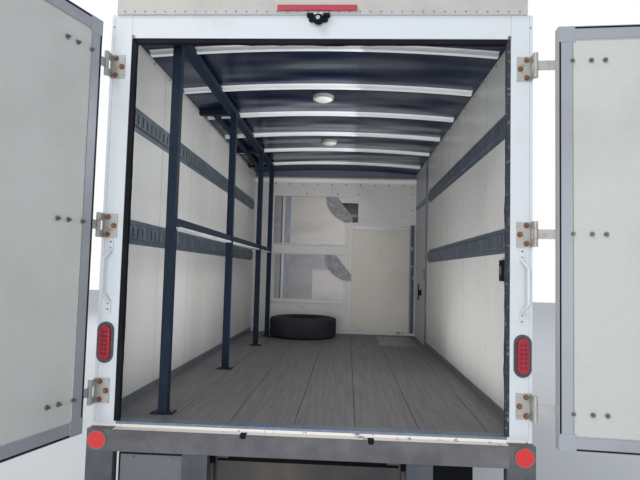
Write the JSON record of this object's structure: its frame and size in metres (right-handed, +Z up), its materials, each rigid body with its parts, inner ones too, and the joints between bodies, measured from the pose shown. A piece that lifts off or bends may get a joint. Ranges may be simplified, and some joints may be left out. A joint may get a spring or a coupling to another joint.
{
  "type": "cargo van",
  "caption": "Box-bodied cargo van with rear double doors standing open, a lined load space, a kerb-side door and a two-door cab with a nose cap above it",
  "frame": {"origin": "middle of the loading edge, on the threshold's top at the rear face of the door frame", "axes": "X to the kerb side (right of the vehicle), Y to the front of the vehicle, Z up"},
  "size_m": [3.3135, 7.2047, 2.9049],
  "materials": {
    "chassis_black": "road-grimed frame paint",
    "axle_iron": "rusted and oily",
    "engine_iron": "oily grey",
    "tank_black": "dusty black",
    "exhaust_steel": "heat-browned",
    "cab_white": "aged gloss white",
    "floor_mat": "ribbed black mat",
    "cap_white": "gel coat",
    "clear_glass": "clear, faintly green",
    "grille_black": "grained",
    "lamp_lens": "fluted clear lens",
    "bumper_paint": "white, scuffed",
    "dash_plastic": "grained",
    "seat_vinyl": "worn vinyl",
    "sill_steel": "grimy undercoat",
    "hardwood": "worn grey-brown boards",
    "wall_white": "off-white laminated panel",
    "roof_skin": "thin buckled sheet",
    "bulkhead_white": "white with scuffs",
    "panel_cream": "cream, dirty",
    "frame_white": "chipped white",
    "galvanised": "galvanised, rust at the bolts",
    "track_grey": "scuffed grey",
    "rack_black": "worn black",
    "lamp_red": "red lens",
    "step_grey": "weathered dark grey",
    "tyre_rubber": "dusty tread",
    "door_panel": "pebbled white panel in an aluminium edge",
    "side_door_grey": "blue-grey",
    "wheel_steel": "silver-white wheel paint",
    "sill_timber": "weathered, grey with road dirt",
    "bow_steel": "bright rolled section",
    "trim_aluminium": "mill finish, dulled",
    "sheet_aluminium": "brushed, smeared",
    "gusset_grey": "mottled grey",
    "step_tread": "black, scuffed tread"
  },
  "bodies": {
    "van": {"frame_rails": "chassis_black", "front_axle": "axle_iron", "rear_axle": "axle_iron", "engine_block": "engine_iron", "fuel_tank": "tank_black", "exhaust": "exhaust_steel", "cab_shell": "cab_white", "side_steps": "step_tread", "cab_floor": "floor_mat", "nose_panels": "cab_white", "nose_cap": "cap_white", "windshield": "clear_glass", "grille": "grille_black", "head_lamps": "lamp_lens", "front_bumper": "bumper_paint", "dashboard": "dash_plastic", "cab_seats": "seat_vinyl", "long_sills": "sill_timber", "cross_sills": "sill_steel", "floor_boards": "hardwood", "wall_left": "wall_white", "wall_right": "wall_white", "box_roof": "roof_skin", "roof_bows": "bow_steel", "front_bulkhead": "bulkhead_white", "bulkhead_sheets": "sheet_aluminium", "bulkhead_gussets": "gusset_grey", "doorway_panel": "panel_cream", "rear_frame": "frame_white", "hinge_brackets": "galvanised", "tie_tracks": "track_grey", "wall_trims": "trim_aluminium", "cargo_rack": "rack_black", "tail_lamps": "lamp_red", "rear_step": "step_grey", "spare_tyre": "tyre_rubber"},
    "rear_door_right": {"rear_door_right": "door_panel", "door_fittings_right": "galvanised"},
    "rear_door_left": {"rear_door_left": "door_panel", "door_fittings_left": "galvanised"},
    "side_door": {"side_door": "side_door_grey"},
    "cab_door_right": {"cab_door_right": "cab_white", "door_glass_right": "clear_glass"},
    "cab_door_left": {"cab_door_left": "cab_white", "door_glass_left": "clear_glass"},
    "hood": {"hood": "cab_white"},
    "steering_wheel": {"steering_wheel": "dash_plastic"},
    "knuckle_right": {"knuckle_right": "axle_iron"},
    "knuckle_left": {"knuckle_left": "axle_iron"},
    "wheel_front_right": {"rim_front_right": "wheel_steel", "tyre_front_right": "tyre_rubber"},
    "wheel_front_left": {"rim_front_left": "wheel_steel", "tyre_front_left": "tyre_rubber"},
    "wheel_rear_right": {"rim_rear_right": "wheel_steel", "tyre_rear_right": "tyre_rubber"},
    "wheel_rear_left": {"rim_rear_left": "wheel_steel", "tyre_rear_left": "tyre_rubber"}
  },
  "joints": [
    {"name": "rear_door_right_swing", "type": "hinge", "parent": "van", "child": "rear_door_right", "pos_m": [1.012, -0.05, 0.92], "axis": [0, 0, 1], "range_deg": [-175.5, 74.5]},
    {"name": "rear_door_left_swing", "type": "hinge", "parent": "van", "child": "rear_door_left", "pos_m": [-1.012, -0.05, 0.92], "axis": [0, 0, -1], "range_deg": [-106.4, 143.6]},
    {"name": "side_door_swing", "type": "hinge", "parent": "van", "child": "side_door", "pos_m": [1.019, 3.847, 0.8], "axis": [0, 0, 1], "range_deg": [0, 100]},
    {"name": "cab_door_right_swing", "type": "hinge", "parent": "van", "child": "cab_door_right", "pos_m": [1.004, 5.004, 0.035], "axis": [0, 0, 1], "range_deg": [0, 68]},
    {"name": "cab_door_left_swing", "type": "hinge", "parent": "van", "child": "cab_door_left", "pos_m": [-1.004, 5.004, 0.035], "axis": [0, 0, -1], "range_deg": [0, 68]},
    {"name": "hood_lift", "type": "hinge", "parent": "van", "child": "hood", "pos_m": [0, 5.345, 0.53618], "axis": [1, 0, 0], "range_deg": [0, 50]},
    {"name": "steer_left", "type": "hinge", "parent": "van", "child": "knuckle_left", "pos_m": [-0.79, 5.4, -0.488], "axis": [0, 0, 1], "range_deg": [-33, 33]},
    {"name": "steer_right", "type": "hinge", "parent": "van", "child": "knuckle_right", "pos_m": [0.79, 5.4, -0.488], "axis": [0, 0, 1], "range_deg": [-33, 33]},
    {"name": "steering_wheel_turn", "type": "hinge", "parent": "van", "child": "steering_wheel", "pos_m": [-0.45, 4.766, 0.554], "axis": [0, -0.8206, 0.5715], "range_deg": [-540, 540]},
    {"name": "wheel_front_right_spin", "type": "hinge", "parent": "knuckle_right", "child": "wheel_front_right", "pos_m": [0.875, 5.4, -0.488], "axis": [1, 0, 0], "continuous": true},
    {"name": "wheel_front_left_spin", "type": "hinge", "parent": "knuckle_left", "child": "wheel_front_left", "pos_m": [-0.875, 5.4, -0.488], "axis": [1, 0, 0], "continuous": true},
    {"name": "wheel_rear_right_spin", "type": "hinge", "parent": "van", "child": "wheel_rear_right", "pos_m": [0.85, 1.39, -0.488], "axis": [1, 0, 0], "continuous": true},
    {"name": "wheel_rear_left_spin", "type": "hinge", "parent": "van", "child": "wheel_rear_left", "pos_m": [-0.85, 1.39, -0.488], "axis": [1, 0, 0], "continuous": true}
  ],
  "couplings": [
    {"joint": "steer_right", "follows": "steer_left", "ratio": 1},
    {"joint": "steering_wheel_turn", "follows": "steer_left", "ratio": 16}
  ]
}
